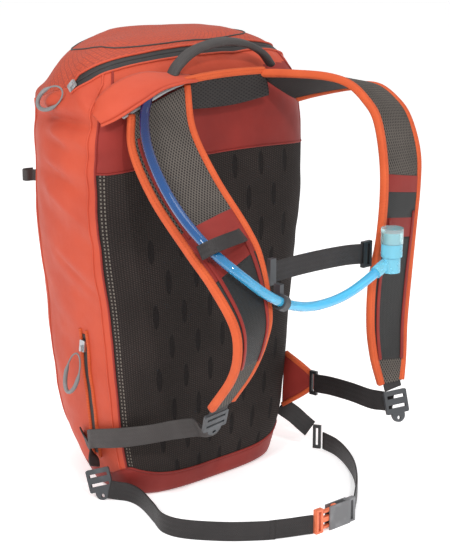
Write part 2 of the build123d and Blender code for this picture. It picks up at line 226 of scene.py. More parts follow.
def webbing(name, body, material, points, across, width=20.0, thick=1.8):
    """Woven webbing through centre points; across is its width direction at each point."""
    sides = across if isinstance(across, list) else [across] * len(points)
    rows = smooth([(*p, *Vector(s).normalized()) for p, s in zip(points, sides)], 10)
    rows = even(rows, max(8, len(rows)))
    return tube_piece(name, body, material, rows[:, :3], rows[:, 3:], width / 2,
                      thick / 2, sides=20, square=7)


# ---- the bag's surface ---------------------------------------------------------------------
BAG_ROWS = smooth(BAG_SECTIONS, 14)
BAG_ROWS[:, 0] = np.maximum(BAG_ROWS[:, 0], 0.0)
BAG_MIDDLE = (0.0, 20.0, 230.0)


def ring_depths(row):
    back = min(BACK_DEPTH, (row[3] - row[2]) / 2)
    return row[2] + back, back, row[3] - row[2] - back


def ring_points(row, angle):
    """Points of one level; angle 0 is the middle of the back and a quarter turn the left side."""
    y_mid, back, front = ring_depths(row)
    c, s = np.cos(angle), np.sin(angle)
    power = np.where(c > 0, BACK_POWER, FRONT_POWER)
    depth = np.where(c > 0, back, front)
    x = -row[1] * np.sign(s) * np.abs(s) ** (2 / power)
    y = y_mid - depth * np.sign(c) * np.abs(c) ** (2 / power)
    return np.column_stack([x, y, np.full_like(x, row[0])])


def seam_angle(row, y):
    """Angle where a level's left side reaches y."""
    y_mid, back, front = ring_depths(row)
    if y < y_mid:
        return math.acos(min(1.0, ((y_mid - y) / back) ** (BACK_POWER / 2)))
    return math.acos(-min(1.0, ((y - y_mid) / front) ** (FRONT_POWER / 2)))


FROZEN_ROW = BAG_ROWS[np.argmax(BAG_ROWS[:, 0] > SHOULDER_Z)]


def back_seam(row):
    """The back seam's angle; above the shoulders it keeps the angle that it has there."""
    return seam_angle(FROZEN_ROW if row[0] > FROZEN_ROW[0] else row, BACK_SEAM_Y)


def front_seam(row):
    return seam_angle(FROZEN_ROW if row[0] > FROZEN_ROW[0] else row, FRONT_SEAM_Y)


def lid_line(points):
    line = np.array(LID_LINE, float)
    return np.interp(points[:, 1], line[:, 0], line[:, 1])


def crossing(line, height):
    """Where along a column of points the value height(points) first rises through 0."""
    values = height(line)
    above = np.nonzero(values >= 0)[0]
    above = above[above > 8]
    if not len(above):
        return len(line) - 1.0
    i = above[0]
    if values[i - 1] >= 0:
        return float(i)
    return i - values[i] / (values[i] - values[i - 1])


# Folds in the cloth: start, end, width and height of each ridge (or groove, if negative)
FOLDS = [
    ((-142, -60, 408), (-142, 112, 408), 9, 3.8), ((-142, -64, 391), (-142, 104, 390), 7, -9.0),
    ((-144, 30, 389), (-118, 122, 388), 10, -9.0), ((-143, 60, 410), (-112, 120, 408), 9, 3.0),
    ((-134, -20, 424), (-141, -52, 398), 7, 3.4), ((-130, -34, 436), (-136, -62, 404), 6, -3.6),
    ((-118, -46, 444), (-128, -66, 412), 7, 3.2), ((-104, -50, 448), (-112, -70, 420), 6, -2.6),
    ((-133, 8, 420), (-141, 22, 398), 8, 2.6), ((-138, 40, 412), (-141, 52, 396), 7, -2.4),
    ((-138, -52, 372), (-143, 30, 384), 8, 2.6), ((-138, -54, 358), (-143, 40, 372), 7, -2.8),
    ((-138, -50, 344), (-143, 60, 352), 9, 2.6), ((-138, -54, 326), (-142, 70, 340), 8, -2.8),
    ((-136, -54, 306), (-140, 40, 322), 10, 2.0), ((-134, -50, 268), (-140, 60, 306), 11, -2.6),
    ((-130, -54, 236), (-137, 70, 270), 12, 2.4), ((-128, -50, 205), (-134, 60, 232), 11, -2.2),
    ((-126, -30, 178), (-131, 90, 205), 12, 2.2), ((-122, 10, 150), (-127, 90, 168), 12, -2.0),
    ((-137, -50, 350), (-141, 20, 384), 5, 2.4), ((-137, -48, 316), (-142, 44, 352), 5, -2.2),
    ((-134, -50, 285), (-140, 30, 322), 6, 2.2), ((-131, -48, 215), (-137, 40, 262), 6, -2.0),
    ((-120, 10, 110), (-124, 90, 132), 14, 2.2), ((-114, 20, 60), (-119, 90, 92), 12, -2.2),
    ((-40, 60, 468), (60, 30, 468), 16, 1.6), ((-95, 60, 455), (-20, -14, 462), 14, -1.6),
    ((-120, 20, 440), (-60, -20, 460), 12, 1.6), ((-118, 70, 420), (-96, 88, 402), 9, 2.4),
    ((30, -60, 446), (60, -48, 452), 8, -2.0), ((70, -58, 440), (104, -50, 440), 8, 2.0),
    ((-20, -62, 442), (-8, -52, 452), 7, 2.0), ((120, -40, 400), (142, 60, 380), 12, -2.6),
    ((130, -50, 300), (140, 60, 340), 12, -2.4), ((120, -50, 200), (134, 60, 240), 12, 2.2),
    ((-80, 122, 350), (60, 128, 330), 14, -3.0), ((-60, 132, 260), (90, 132, 230), 16, 2.4),
    ((-90, 128, 150), (40, 132, 120), 16, -2.6), ((-100, 90, 30), (100, 90, 34), 10, -2.0),
]


def relief(points):
    """How far the cloth stands out from the plain form at each point."""
    flat = points.reshape(-1, 3)
    height = np.zeros(len(flat))
    for start, end, width, size in FOLDS:
        a, b = np.array(start, float), np.array(end, float)
        run = b - a
        t = np.clip((flat - a) @ run / (run @ run), 0, 1)
        away = np.linalg.norm(flat - a - t[:, None] * run, axis=1)
        ends = np.sin(math.pi * (0.08 + 0.84 * t))
        height += size * ends * np.exp(-(away / width) ** 2)
    soft = [noise.noise(Vector(p * 0.018)) * 1.8 + noise.noise(Vector(p * 0.05)) * 0.6
            for p in flat]
    height += np.array(soft)
    low = np.clip(flat[:, 2] / 14, 0, 1)
    top = np.clip((470.5 - flat[:, 2]) / 6, 0.25, 1)
    back = np.clip((flat[:, 1] + 78) / 16, 0.22, 1)
    return (height * low * top * back).reshape(points.shape[:-1])


def slump(points):
    """The half-empty top sinks toward its front left corner."""
    side = np.clip((-points[..., 0] - 30) / 90, 0, 1)
    front = np.clip((points[..., 1] + 10) / 90, 0, 1)
    height = np.clip((points[..., 2] - 402) / 45, 0, 1)
    points[..., 2] -= 17 * side * front * height
    return points


def bag_patch(angles, low, high, columns, rows, lift=0.0):
    """A grid on the bag between two seams, from the height rule low to the rule high."""
    sheet = np.array([even(ring_points(row, np.linspace(*angles(row), 120)), columns)
                      for row in BAG_ROWS])
    grid = np.zeros((rows, columns, 3))
    index = np.arange(len(BAG_ROWS))
    for j in range(columns):
        line = sheet[:, j]
        start = crossing(line, low) if low else 0.0
        stop = crossing(line, high) if high else len(line) - 1.0
        at = np.linspace(start, max(stop, start + 0.01), 160)
        run = np.column_stack([np.interp(at, index, line[:, k]) for k in range(3)])
        grid[:, j] = even(run, rows)
    n = normals_of(grid, BAG_MIDDLE)
    return slump(grid + n * (relief(grid) + lift)[..., None])


def level(z):
    return lambda p: p[:, 2] - z


def base_seam(p):
    """The base panel's top edge, which climbs at the two back corners."""
    corner = np.clip(np.abs(p[:, 0]) / 118, 0, 1) ** 4 * np.clip((-30 - p[:, 1]) / 27, 0, 1)
    return p[:, 2] - BASE_HEIGHT - 20 * corner


def yoke_seam(p):
    """The seam of the yoke on the mesh back, a shallow arch."""
    return p[:, 2] - YOKE_SEAM_Z - 8 * np.clip(1 - (p[:, 0] / 130) ** 2, 0, 1)


def zip_only(offset):
    """The lid line, moved by offset where the zip runs and closing at the zip's two ends."""
    def height(p):
        reach = np.clip((ZIP_END_Y - p[:, 1]) / 3.0, 0, 1) * offset
        return p[:, 2] - lid_line(p) - reach
    return height


# ---- materials -----------------------------------------------------------------------------
class Look:
    """A material under construction: one Principled shader and short calls for its nodes."""

    def __init__(self, name, colour, rough, **inputs):
        self.material = bpy.data.materials.new(name)
        self.material.use_nodes = True
        self.tree = self.material.node_tree
        self.shader = self.tree.nodes["Principled BSDF"]
        self.shader.inputs["Base Color"].default_value = (*colour, 1)
        self.shader.inputs["Roughness"].default_value = rough
        for key, value in inputs.items():
            self.shader.inputs[key.replace("_", " ")].default_value = value
        self.height = None

    def link(self, value, socket):
        if isinstance(value, bpy.types.NodeSocket):
            self.tree.links.new(value, socket)
        else:
            socket.default_value = value

    def math(self, operation, a, b=0.0, c=0.0):
        node = self.tree.nodes.new("ShaderNodeMath")
        node.operation = operation
        for value, socket in zip((a, b, c), node.inputs):
            self.link(value, socket)
        return node.outputs[0]

    def times(self, a, b):
        return self.math("MULTIPLY", a, b)

    def place(self):
        """Object coordinates in metres."""
        return self.tree.nodes.new("ShaderNodeTexCoord").outputs["Object"]

    def flat(self):
        """The piece's own flat coordinates in millimetres, across and along."""
        node = self.tree.nodes.new("ShaderNodeUVMap")
        node.uv_map = "flat"
        parts = self.tree.nodes.new("ShaderNodeSeparateXYZ")
        self.tree.links.new(node.outputs[0], parts.inputs[0])
        return self.math("MULTIPLY", parts.outputs[0], 1000), self.math(
            "MULTIPLY", parts.outputs[1], 1000)

    def noise(self, scale, detail=3.0, stretch=None):
        node = self.tree.nodes.new("ShaderNodeTexNoise")
        node.inputs["Scale"].default_value = scale
        node.inputs["Detail"].default_value = detail
        where = self.place()
        if stretch:
            mapping = self.tree.nodes.new("ShaderNodeMapping")
            mapping.inputs["Scale"].default_value = stretch
            self.tree.links.new(where, mapping.inputs["Vector"])
            where = mapping.outputs[0]
        self.tree.links.new(where, node.inputs["Vector"])
        return node.outputs[0]

    def wave(self, value, pitch, sharp=1.0):
        """A ripple from 0 to 1 with the given pitch."""
        turn = self.math("MULTIPLY", value, 2 * math.pi / pitch)
        ripple = self.math("MULTIPLY_ADD", self.math("SINE", turn), 0.5, 0.5)
        return self.math("POWER", ripple, sharp) if sharp != 1.0 else ripple

    def blend_colour(self, factor, low, high):
        node = self.tree.nodes.new("ShaderNodeMix")
        node.data_type = "RGBA"
        self.link(factor, node.inputs["Factor"])
        self.link(low if isinstance(low, bpy.types.NodeSocket) else (*low, 1), node.inputs["A"])
        self.link(high if isinstance(high, bpy.types.NodeSocket) else (*high, 1),
                  node.inputs["B"])
        return node.outputs["Result"]

    def colour(self, socket):
        self.tree.links.new(socket, self.shader.inputs["Base Color"])

    def paint(self, factor, low, high):
        self.colour(self.blend_colour(factor, low, high))

    def roughness(self, factor, low, high):
        node = self.tree.nodes.new("ShaderNodeMapRange")
        self.link(factor, node.inputs["Value"])
        node.inputs["To Min"].default_value = low
        node.inputs["To Max"].default_value = high
        self.tree.links.new(node.outputs[0], self.shader.inputs["Roughness"])

    def bump(self, height, depth, strength=1.0):
        """Adds relief of the given depth in millimetres."""
        node = self.tree.nodes.new("ShaderNodeBump")
        node.inputs["Distance"].default_value = depth * MM
        node.inputs["Strength"].default_value = strength
        self.tree.links.new(height, node.inputs["Height"])
        if self.height is not None:
            self.tree.links.new(self.height, node.inputs["Normal"])
        self.height = node.outputs[0]
        self.tree.links.new(self.height, self.shader.inputs["Normal"])

    def smoothstep(self, value, low, high):
        node = self.tree.nodes.new("ShaderNodeMapRange")
        node.interpolation_type = "SMOOTHSTEP"
        self.link(value, node.inputs["Value"])
        node.inputs["From Min"].default_value = low
        node.inputs["From Max"].default_value = high
        return node.outputs[0]

    def cell(self, value, pitch):
        """Distance from the middle of the nearest cell of the given pitch."""
        shifted = self.math("FLOORED_MODULO", value, pitch)
        return self.math("ABSOLUTE", self.math("SUBTRACT", shifted, pitch / 2))


def plain_cloth(name, colour, shade, weave=1.1, sheen=0.04, crease=1.0):
    """Plain woven nylon with fine threads, soft creases and uneven colour."""
    look = Look(name, colour, 0.66, Specular_IOR_Level=0.3, Sheen_Weight=sheen,
                Sheen_Roughness=0.4)
    u, v = look.flat()
    threads = look.times(look.wave(u, weave), look.wave(v, weave))
    patch = look.noise(14, 4)
    fine = look.noise(90, 5)
    mottled = look.blend_colour(look.smoothstep(patch, 0.3, 0.75), shade, colour)
    look.paint(look.times(threads, 0.22), mottled, shade)
    look.roughness(fine, 0.52, 0.74)
    look.bump(look.noise(22, 4, (1, 1, 0.55)), 2.2 * crease, 0.4)
    look.bump(look.noise(70, 3), 0.7 * crease, 0.45)
    look.bump(threads, 0.12, 0.5)
    return look.material


def ripstop_cloth():
    """Lid cloth: darker threads make a small slanted grid over the orange ground."""
    look = Look("lid_cloth", RUST, 0.62, Specular_IOR_Level=0.3)
    u, v = look.flat()
    slant_a = look.math("MULTIPLY_ADD", v, 0.6, u)
    slant_b = look.math("MULTIPLY_ADD", v, -0.6, u)
    grid = look.math("MAXIMUM", look.smoothstep(look.cell(slant_a, 4.2), 1.65, 2.1),
                     look.smoothstep(look.cell(slant_b, 4.2), 1.65, 2.1))
    heather = look.noise(700, 2, (1, 0.5, 1))
    ground = look.blend_colour(look.smoothstep(heather, 0.3, 0.75), (0.36, 0.046, 0.022),
                               (0.50, 0.072, 0.030))
    look.paint(look.times(grid, 0.6), ground,
               (0.13, 0.022, 0.016))
    look.roughness(heather, 0.5, 0.72)
    look.bump(look.noise(20, 4), 2.6, 0.5)
    look.bump(grid, 0.25, 0.5)
    return look.material


def back_mesh_cloth():
    """Charcoal knit of the back: fine ribs, open lozenges and a stitched edge."""
    look = Look("back_knit", CHARCOAL, 0.8, Specular_IOR_Level=0.2)
    u, v = look.flat()
    rib = look.wave(u, 2.6)
    knit = look.times(rib, look.wave(look.math("MULTIPLY_ADD", u, 0.5, v), 2.4))
    row = look.math("FLOOR", look.math("DIVIDE", v, 34))
    odd = look.math("FLOORED_MODULO", row, 2)
    across = look.math("MULTIPLY_ADD", odd, 17, u)
    wide = look.math("POWER", look.math("DIVIDE", look.cell(across, 34), 3.6), 2)
    tall = look.math("POWER", look.math("DIVIDE", look.cell(v, 34), 13.5), 2)
    inside = look.math("SUBTRACT", 1.0, look.math("ADD", wide, tall))
    belt = look.smoothstep(look.math("ABSOLUTE", u), 98, 92)
    lozenge = look.times(look.smoothstep(inside, 0.0, 0.35), belt)
    soft = look.blend_colour(look.times(knit, 0.75), (0.012, 0.009, 0.008),
                             (0.044, 0.032, 0.028))
    worn = look.blend_colour(look.smoothstep(look.noise(16, 3), 0.35, 0.7), soft,
                             look.blend_colour(knit, (0.015, 0.011, 0.010),
                                               (0.055, 0.041, 0.036)))
    holed = look.blend_colour(look.times(lozenge, 0.75), worn, (0.006, 0.004, 0.004))
    edge = look.math("SUBTRACT", 131.0, look.math("ABSOLUTE", u))
    rows_on = look.times(look.smoothstep(edge, -1.0, 0.5),
                        look.smoothstep(edge, 8.0, 7.0))
    dots = look.times(look.smoothstep(look.cell(edge, 3.4), 0.9, 0.4),
                     look.smoothstep(look.cell(v, 4.0), 1.3, 0.8))
    stitch = look.times(rows_on, dots)
    look.paint(look.times(stitch, 0.45), holed,
               (0.33, 0.29, 0.24))
    look.bump(lozenge, -1.6, 0.8)
    look.bump(knit, 0.45, 0.8)
    look.bump(look.noise(30, 3), 1.2, 0.35)
    return look.material


def spacer_mesh(name, ground=SPACER, hole=(0.014, 0.012, 0.012), pitch=3.0):
    """Strap face: open spacer mesh, small dark holes in slanted rows."""
    look = Look(name, ground, 0.78, Specular_IOR_Level=0.25)
    u, v = look.flat()
    a = look.math("MULTIPLY_ADD", v, 0.55, u)
    b = look.math("MULTIPLY_ADD", v, -0.55, u)
    cells = look.math("ADD", look.math("POWER", look.math("DIVIDE", look.cell(a, pitch), 1.0), 2),
                      look.math("POWER", look.math("DIVIDE", look.cell(b, pitch), 1.0), 2))
    opening = look.smoothstep(cells, 1.15, 0.5)
    patch = look.blend_colour(look.noise(30, 3), tuple(c * 0.6 for c in ground),
                              tuple(c * 1.25 for c in ground))
    look.paint(opening, patch, hole)
    look.bump(opening, -0.7, 0.9)
    look.bump(look.noise(45, 3), 0.8, 0.3)
    return look.material


def binding_tape():
    """Folded edge binding: ribbed orange tape with a line of stitches."""
    look = Look("edge_binding", BINDING, 0.7, Specular_IOR_Level=0.25)
    u, v = look.flat()
    ribs = look.wave(v, 1.5)
    stitch = look.times(look.smoothstep(look.math("ABSOLUTE", look.math(
        "ADD", look.math("ABSOLUTE", u), -1.6)), 0.5, 0.2),
        look.smoothstep(look.cell(v, 3.2), 1.2, 0.8))
    shade = look.blend_colour(look.noise(40, 3), (0.46, 0.066, 0.020), (0.64, 0.115, 0.034))
    look.paint(look.times(stitch, 0.5), shade,
               (0.45, 0.06, 0.02))
    look.bump(ribs, 0.25, 0.6)
    look.bump(stitch, -0.4, 0.6)
    look.bump(look.noise(55, 2), 0.8, 0.35)
    return look.material


def woven_webbing(name, colour, light, rough=0.5):
    """Nylon webbing: herringbone ribs and firm edges."""
    look = Look(name, colour, rough, Specular_IOR_Level=0.35)
    u, v = look.flat()
    slope = look.math("MULTIPLY_ADD", look.cell(u, 5.0), 1.0, v)
    ribs = look.wave(slope, 1.9)
    look.paint(look.times(ribs, look.noise(60, 2)), colour, light)
    look.roughness(ribs, rough - 0.08, rough + 0.18)
    look.bump(ribs, 0.28, 0.7)
    look.bump(look.noise(35, 2), 0.8, 0.25)
    return look.material


def zip_tape():
    """Coated zip tape with the coil showing as a ridge of small teeth."""
    look = Look("zip_tape", (0.022, 0.020, 0.020), 0.5, Specular_IOR_Level=0.3)
    u = look.flat()[0]
    teeth = look.wave(u, 1.6)
    look.paint(look.noise(60, 3), (0.016, 0.015, 0.015),
               (0.034, 0.031, 0.031))
    look.bump(teeth, 0.18, 0.35)
    look.bump(look.noise(300, 2), 0.15, 0.5)
    return look.material


def moulded(name, colour, rough=0.4, grain=0.12, **inputs):
    """Moulded plastic with a fine spark-eroded grain and slight wear."""
    look = Look(name, colour, rough, **inputs)
    worn = look.smoothstep(look.noise(55, 4), 0.5, 0.75)
    look.paint(worn, colour, tuple(min(1, c * 1.5 + 0.006) for c in colour))
    look.roughness(look.noise(180, 3), rough - 0.08, rough + 0.14)
    look.bump(look.noise(900, 2), grain, 0.4)
    return look.material


def zip_alloy():
    look = Look("zip_alloy", (0.42, 0.42, 0.43), 0.28, Metallic=1.0)
    scratch = look.noise(260, 4, (1, 1, 0.2))
    look.roughness(scratch, 0.18, 0.42)
    look.paint(scratch, (0.30, 0.30, 0.31), (0.60, 0.60, 0.61))
    look.bump(look.noise(500, 2), 0.08, 0.4)
    return look.material


def hose_plastic():
    """Soft translucent blue tube, its colour painted by height: pale cyan on the low free span is
    painted light, deep blue higher up and navy at the top are painted shade.
    """
    look = Look("hose_tube", (0.03, 0.36, 0.80), 0.06, Transmission_Weight=0.45, IOR=1.40,
                Coat_Weight=1.0, Coat_Roughness=0.02)
    parts = look.tree.nodes.new("ShaderNodeSeparateXYZ")
    look.tree.links.new(look.place(), parts.inputs[0])
    # painted light and shade by height: pale cyan low down is painted light through the tube, deep
    # blue above it is painted shade
    middle = look.blend_colour(look.smoothstep(parts.outputs[2], 0.245, 0.32),
                               (0.08, 0.56, 0.88), (0.006, 0.10, 0.34))
    # navy at the top is painted shade
    look.paint(look.smoothstep(parts.outputs[2], 0.33, 0.41), middle,
               (0.003, 0.014, 0.12))
    look.roughness(look.noise(120, 2), 0.03, 0.09)
    return look.material


def clear_plastic(name, colour, rough, transmission):
    look = Look(name, colour, rough, Transmission_Weight=transmission, IOR=1.46)
    look.roughness(look.noise(160, 3), rough, rough + 0.12)
    look.paint(look.noise(60, 2), colour,
               tuple(min(1, c * 1.15) for c in colour))
    look.bump(look.noise(220, 2), 0.08, 0.3)
    return look.material


body_cloth = plain_cloth("body_cloth", RUST, RUST_DARK)
brick_cloth = plain_cloth("brick_cloth", BRICK, (0.19, 0.014, 0.010), sheen=0.08,
                          crease=0.5)
lid_cloth = ripstop_cloth()
back_knit = back_mesh_cloth()
strap_mesh = spacer_mesh("strap_spacer_mesh")
under_mesh = spacer_mesh("strap_underside_mesh", (0.035, 0.031, 0.030), (0.010, 0.009, 0.009), 3.6)
stretch_cloth = woven_webbing("stretch_pocket_cloth", (0.012, 0.012, 0.012), (0.028, 0.027, 0.026))
edge_tape = binding_tape()
grey_webbing = woven_webbing("grey_webbing", WEBBING_GREY, (0.075, 0.066, 0.063))
black_webbing = woven_webbing("black_webbing", WEBBING_BLACK, (0.042, 0.036, 0.036))
tape = zip_tape()
alloy = zip_alloy()
grey_plastic = moulded("grey_acetal", GREY_PLASTIC, 0.38)
black_plastic = moulded("black_acetal", BLACK_PLASTIC, 0.36)
slate_plastic = moulded("slate_acetal", SLATE_PLASTIC, 0.36)
orange_plastic = moulded("orange_acetal", (0.70, 0.16, 0.07), 0.4)
pull_rubber = moulded("pull_rubber", (0.17, 0.168, 0.168), 0.5)
hose_blue = hose_plastic()
valve_blue = clear_plastic("valve_blue", (0.22, 0.66, 0.84), 0.2, 0.45)
valve_cap = clear_plastic("valve_cover_clear", (0.62, 0.87, 0.93), 0.08, 0.8)
valve_soft = clear_plastic("valve_silicone", (0.45, 0.80, 0.90), 0.35, 0.4)
film = clear_plastic("reservoir_film", (0.55, 0.78, 0.88), 0.14, 0.85)
foam = moulded("closed_cell_foam", (0.10, 0.10, 0.105), 0.85, 0.6)
sheet_plastic = moulded("frame_sheet_plastic", (0.32, 0.32, 0.33), 0.45)
pale_lining = plain_cloth("pale_lining", (0.42, 0.43, 0.44), (0.30, 0.31, 0.32), crease=0.4)


# ---- camera and hose -----------------------------------------------------------------------
AIM = Vector((77.4, 0, 190.2)) * MM
AZIMUTH, ELEVATION, DISTANCE = math.radians(-42.4), math.radians(15.5), 1.739
camera_data = bpy.data.cameras.new("camera")
camera_data.lens = 102.4
camera_data.sensor_width = 36
camera = bpy.data.objects.new("camera", camera_data)
bpy.context.scene.collection.objects.link(camera)
camera.location = AIM + DISTANCE * Vector((math.sin(AZIMUTH) * math.cos(ELEVATION),
                                           -math.cos(AZIMUTH) * math.cos(ELEVATION),
                                           math.sin(ELEVATION)))
camera.rotation_euler = (AIM - camera.location).to_track_quat("-Z", "Y").to_euler()
bpy.context.scene.camera = camera

hose_curve = bpy.data.curves.new("drinking_hose_tube", "CURVE")
hose_curve.dimensions = "3D"
hose_line = hose_curve.splines.new("NURBS")
hose_line.points.add(len(HOSE_ROUTE) - 1)
for point, at in zip(hose_line.points, HOSE_ROUTE):
    point.co = (*(Vector(at) * MM), 1)
hose_line.order_u = 3
hose_line.use_endpoint_u = True
hose_line.resolution_u = 10
hose_curve.bevel_depth = HOSE_RADIUS * MM
hose_curve.bevel_resolution = 6
hose_curve.use_fill_caps = True
hose_curve.materials.append(hose_blue)
hose = bpy.data.objects.new("drinking_hose_tube", hose_curve)
bpy.context.scene.collection.objects.link(hose)
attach(hose, "harness")
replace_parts(hose, "drinking_hose")

# ---- bag panels ----------------------------------------------------------------------------
def whole_ring(row):
    return -math.pi, math.pi


def back_span(row):
    return -back_seam(row), back_seam(row)


def zip_span(row):
    reach = seam_angle(FROZEN_ROW, ZIP_END_Y)
    return -reach, reach


def side_angles(side):
    def angles(row):
        return side * back_seam(row), side * front_seam(row)
    return angles


panels = [
    ("back_mesh_cloth", "back_mesh_panel", "back_mesh", back_knit,
     back_span, base_seam, yoke_seam, 120, 130),
    ("yoke_cloth", "yoke_panel", "yoke_fabric", brick_cloth,
     back_span, yoke_seam, zip_only(-ZIP_TAPE), 110, 50),
    ("left_side_cloth", "left_side_panel", "body_fabric", body_cloth,
     side_angles(1), base_seam, zip_only(-ZIP_TAPE), 70, 200),
    ("right_side_cloth", "right_side_panel", "body_fabric", body_cloth,
     side_angles(-1), base_seam, zip_only(-ZIP_TAPE), 70, 200),
    ("front_cloth", "front_panel", "body_fabric", body_cloth,
     lambda r: (front_seam(r), 2 * math.pi - front_seam(r)), base_seam, zip_only(0.0),
     110, 150),
    ("base_cloth", "base_panel", "yoke_fabric", brick_cloth,
     whole_ring, None, base_seam, 220, 24),
    ("lower_zip_tape_cloth", "top_zip_lower_tape", "zip_tape", tape,
     zip_span,
     zip_only(-ZIP_TAPE), zip_only(-0.3), 180, 6),
]
for name, node, slot, material, angles, low, high, columns, rows in panels:
    grid = bag_patch(angles, low, high, columns, rows)
    panel = grid_piece(name, "bag", material, grid, wrap=node == "base_panel", thick=1.6,
                       outward=BAG_MIDDLE)
    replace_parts(panel, node)
    if node == "yoke_panel":
        panel.data.materials.append(body_cloth)
        panel.data.polygons.foreach_set(
            "material_index", [int(p.center.z > YOKE_CLOTH_TOP * MM) for p in panel.data.polygons])

upper = bag_patch(zip_span, zip_only(0.3), zip_only(ZIP_TAPE), 180, 6)
upper_tape = grid_piece("upper_zip_tape_cloth", "lid", tape, upper, thick=1.6,
                        outward=BAG_MIDDLE)
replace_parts(upper_tape, "top_zip_upper_tape")
lid_grid = bag_patch(whole_ring, zip_only(ZIP_TAPE), None, 260, 90)
lid = grid_piece("lid_cloth", "lid", lid_cloth, lid_grid, wrap=True, thick=1.6,
                 outward=BAG_MIDDLE)
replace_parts(lid, "lid_shell")


# ---- seams, side zip and the flap over the harness -----------------------------------------
def seam_cord(name, body, material, curve, radius=1.1):
    curve = even(curve, max(20, len(curve)))
    across = np.tile((0.3, 0.2, 1.0), (len(curve), 1))
    return tube_piece(name, body, material, curve, across, radius, radius, sides=8)


def seam_run(angles, low, high, rows, lift=0.0):
    """A line of points up one seam of the bag."""
    return bag_patch(lambda r: (angles(r) - 0.004, angles(r) + 0.004), low, high, 2, rows,
                     lift).mean(axis=1)


seams = [
    ("left_back_seam", back_seam, brick_cloth, "body_fabric"),
    ("right_back_seam", lambda r: -back_seam(r), brick_cloth, "body_fabric"),
    ("left_side_seam", lambda r: back_seam(r) + 0.16, body_cloth, "body_fabric"),
    ("left_front_seam", front_seam, body_cloth, "body_fabric"),
    ("right_front_seam", lambda r: -front_seam(r), body_cloth, "body_fabric"),
]
for name, angle, material, slot in seams:
    run = seam_run(angle, base_seam, zip_only(-ZIP_TAPE), 140, 0.2)
    seam_cord(name, "bag", material, run)
yoke_line = bag_patch(back_span, yoke_seam, level(362), 90, 3)[0]
seam_cord("yoke_seam_edge", "bag", brick_cloth, yoke_line, 1.0)
base_line = bag_patch(back_span, base_seam, level(80), 90, 3)[0]
seam_cord("base_seam_edge", "bag", brick_cloth, base_line, 1.2)
for name, offset, body in (("lower_zip_piping", -ZIP_TAPE - 0.6, "bag"),
                           ("upper_zip_piping", ZIP_TAPE + 0.6, "lid")):
    line = bag_patch(zip_span, zip_only(offset), zip_only(offset + 5), 160, 3, 0.5)[0]
    seam_cord(name, body, body_cloth, line, 1.2)
crown = bag_patch(whole_ring, level(459), level(464), 200, 3, 0.2)[0]
seam_cord("lid_crown_piping", "lid", grey_webbing, crown, 0.9)
fold = bag_patch(lambda r: (math.pi - 0.62, math.pi + 0.62), zip_only(-9.0), zip_only(9.0), 60, 14,
                 1.0)
fold_cloth = grid_piece("lid_fold_cloth", None, body_cloth, fold, thick=0.9,
                        outward=BAG_MIDDLE)
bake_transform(fold_cloth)

ZIP_Y, ZIP_HALF = SIDE_ZIP["y"], SIDE_ZIP["half"]
side_tape = bag_patch(lambda r: (seam_angle(r, ZIP_Y - ZIP_HALF), seam_angle(r, ZIP_Y + ZIP_HALF)),
                      level(SIDE_ZIP["low"]), level(SIDE_ZIP["high"]), 8, 70, 0.5)
tape_piece = grid_piece("side_zip_cloth", "bag", tape, side_tape, thick=1.2,
                        outward=BAG_MIDDLE)
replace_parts(tape_piece, "side_zip_tape")
for name, offset in (("side_zip_back_welt", -ZIP_HALF - 1.2),
                     ("side_zip_front_welt", ZIP_HALF + 1.2)):
    welt = bag_patch(lambda r: (seam_angle(r, ZIP_Y + offset - 0.3),
                                seam_angle(r, ZIP_Y + offset + 0.3)),
                     level(SIDE_ZIP["low"] - 3), level(SIDE_ZIP["high"] + 5), 2, 70, 0.6)
    seam_cord(name, "bag", edge_tape, welt.mean(axis=1), 2.0)


def strip(name, body, material, rails, columns=60, rows=10):
    """A cloth strip through several smooth rails of points."""
    lines = np.array([even(smooth(rail), columns) for rail in rails])
    grid = np.array([even(smooth(lines[:, j], 8), rows) for j in range(columns)])
    grid_piece(name, body, material, grid.transpose(1, 0, 2), thick=1.4,
               outward=BAG_MIDDLE)


strip("harness_flap", "bag", body_cloth, [
    [(-135, -38, 404), (-129, -50, 421), (-112, -58, 434), (-88, -64, 440), (-64, -74, 438),
     (-44, -80, 435)],
    [(-139, -52, 401), (-132, -66, 412), (-114, -76, 425), (-88, -82, 434), (-64, -86, 435),
     (-44, -87, 434)],
    [(-137, -61, 394), (-130, -75, 402), (-112, -87, 415), (-88, -92, 427), (-64, -94, 431),
     (-44, -92, 431)]])
flap_hem = smooth([(-137, -61, 393), (-130, -76, 401), (-112, -88, 414), (-88, -93, 426),
                   (-64, -95, 430), (-44, -93, 430)])
seam_cord("harness_flap_hem", "bag", body_cloth, flap_hem, 1.5)
strip("hose_slot_lining", "bag", pale_lining, [
    [(-124, -70, 404), (-104, -80, 418), (-80, -85, 429), (-60, -88, 433)],
    [(-122, -76, 400), (-103, -86, 412), (-80, -91, 423), (-60, -92, 428)]], columns=30, rows=6)


